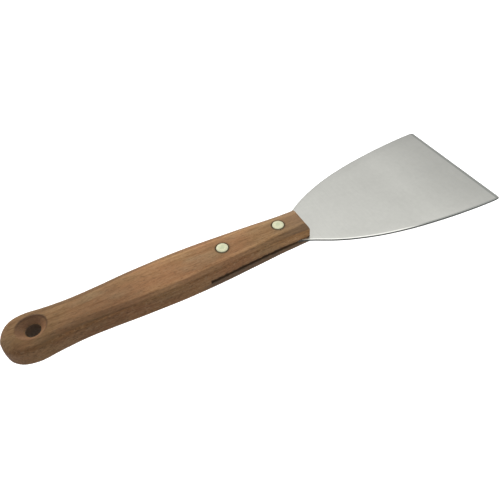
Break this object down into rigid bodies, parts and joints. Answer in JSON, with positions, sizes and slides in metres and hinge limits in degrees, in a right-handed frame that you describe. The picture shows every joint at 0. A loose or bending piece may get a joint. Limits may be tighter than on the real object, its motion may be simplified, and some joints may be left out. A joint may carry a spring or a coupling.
{
  "type": "flexible putty knife",
  "caption": "Broad flat spring-steel blade that flares from a slotted, riveted wooden handle, for spreading and scraping filler; the butt has a hang hole.",
  "frame": {"origin": "centre of the hang hole in the butt, on the mid plane of the blade", "axes": "+X along the knife from the butt to the working edge, +Z out of the upper flat of the blade, where the female rivet heads are"},
  "size_m": [0.271, 0.076, 0.0168],
  "materials": {
    "stained_hardwood": "satin",
    "spring_steel": "satin",
    "rivet_nickel": "satin"
  },
  "bodies": {
    "handle_body": {"handle": "stained_hardwood", "blade_tang": "spring_steel", "front_rivet_female": "rivet_nickel", "front_rivet_male": "rivet_nickel", "rear_rivet_female": "rivet_nickel", "rear_rivet_male": "rivet_nickel"},
    "blade_body": {"blade": "spring_steel"}
  },
  "joints": [
    {"name": "blade_flex", "type": "hinge", "parent": "handle_body", "child": "blade_body", "pos_m": [0.162, 0, 0], "axis": [0, -1, 0], "range_deg": [-20, 20], "stiffness_Nm_per_rad": 5}
  ]
}
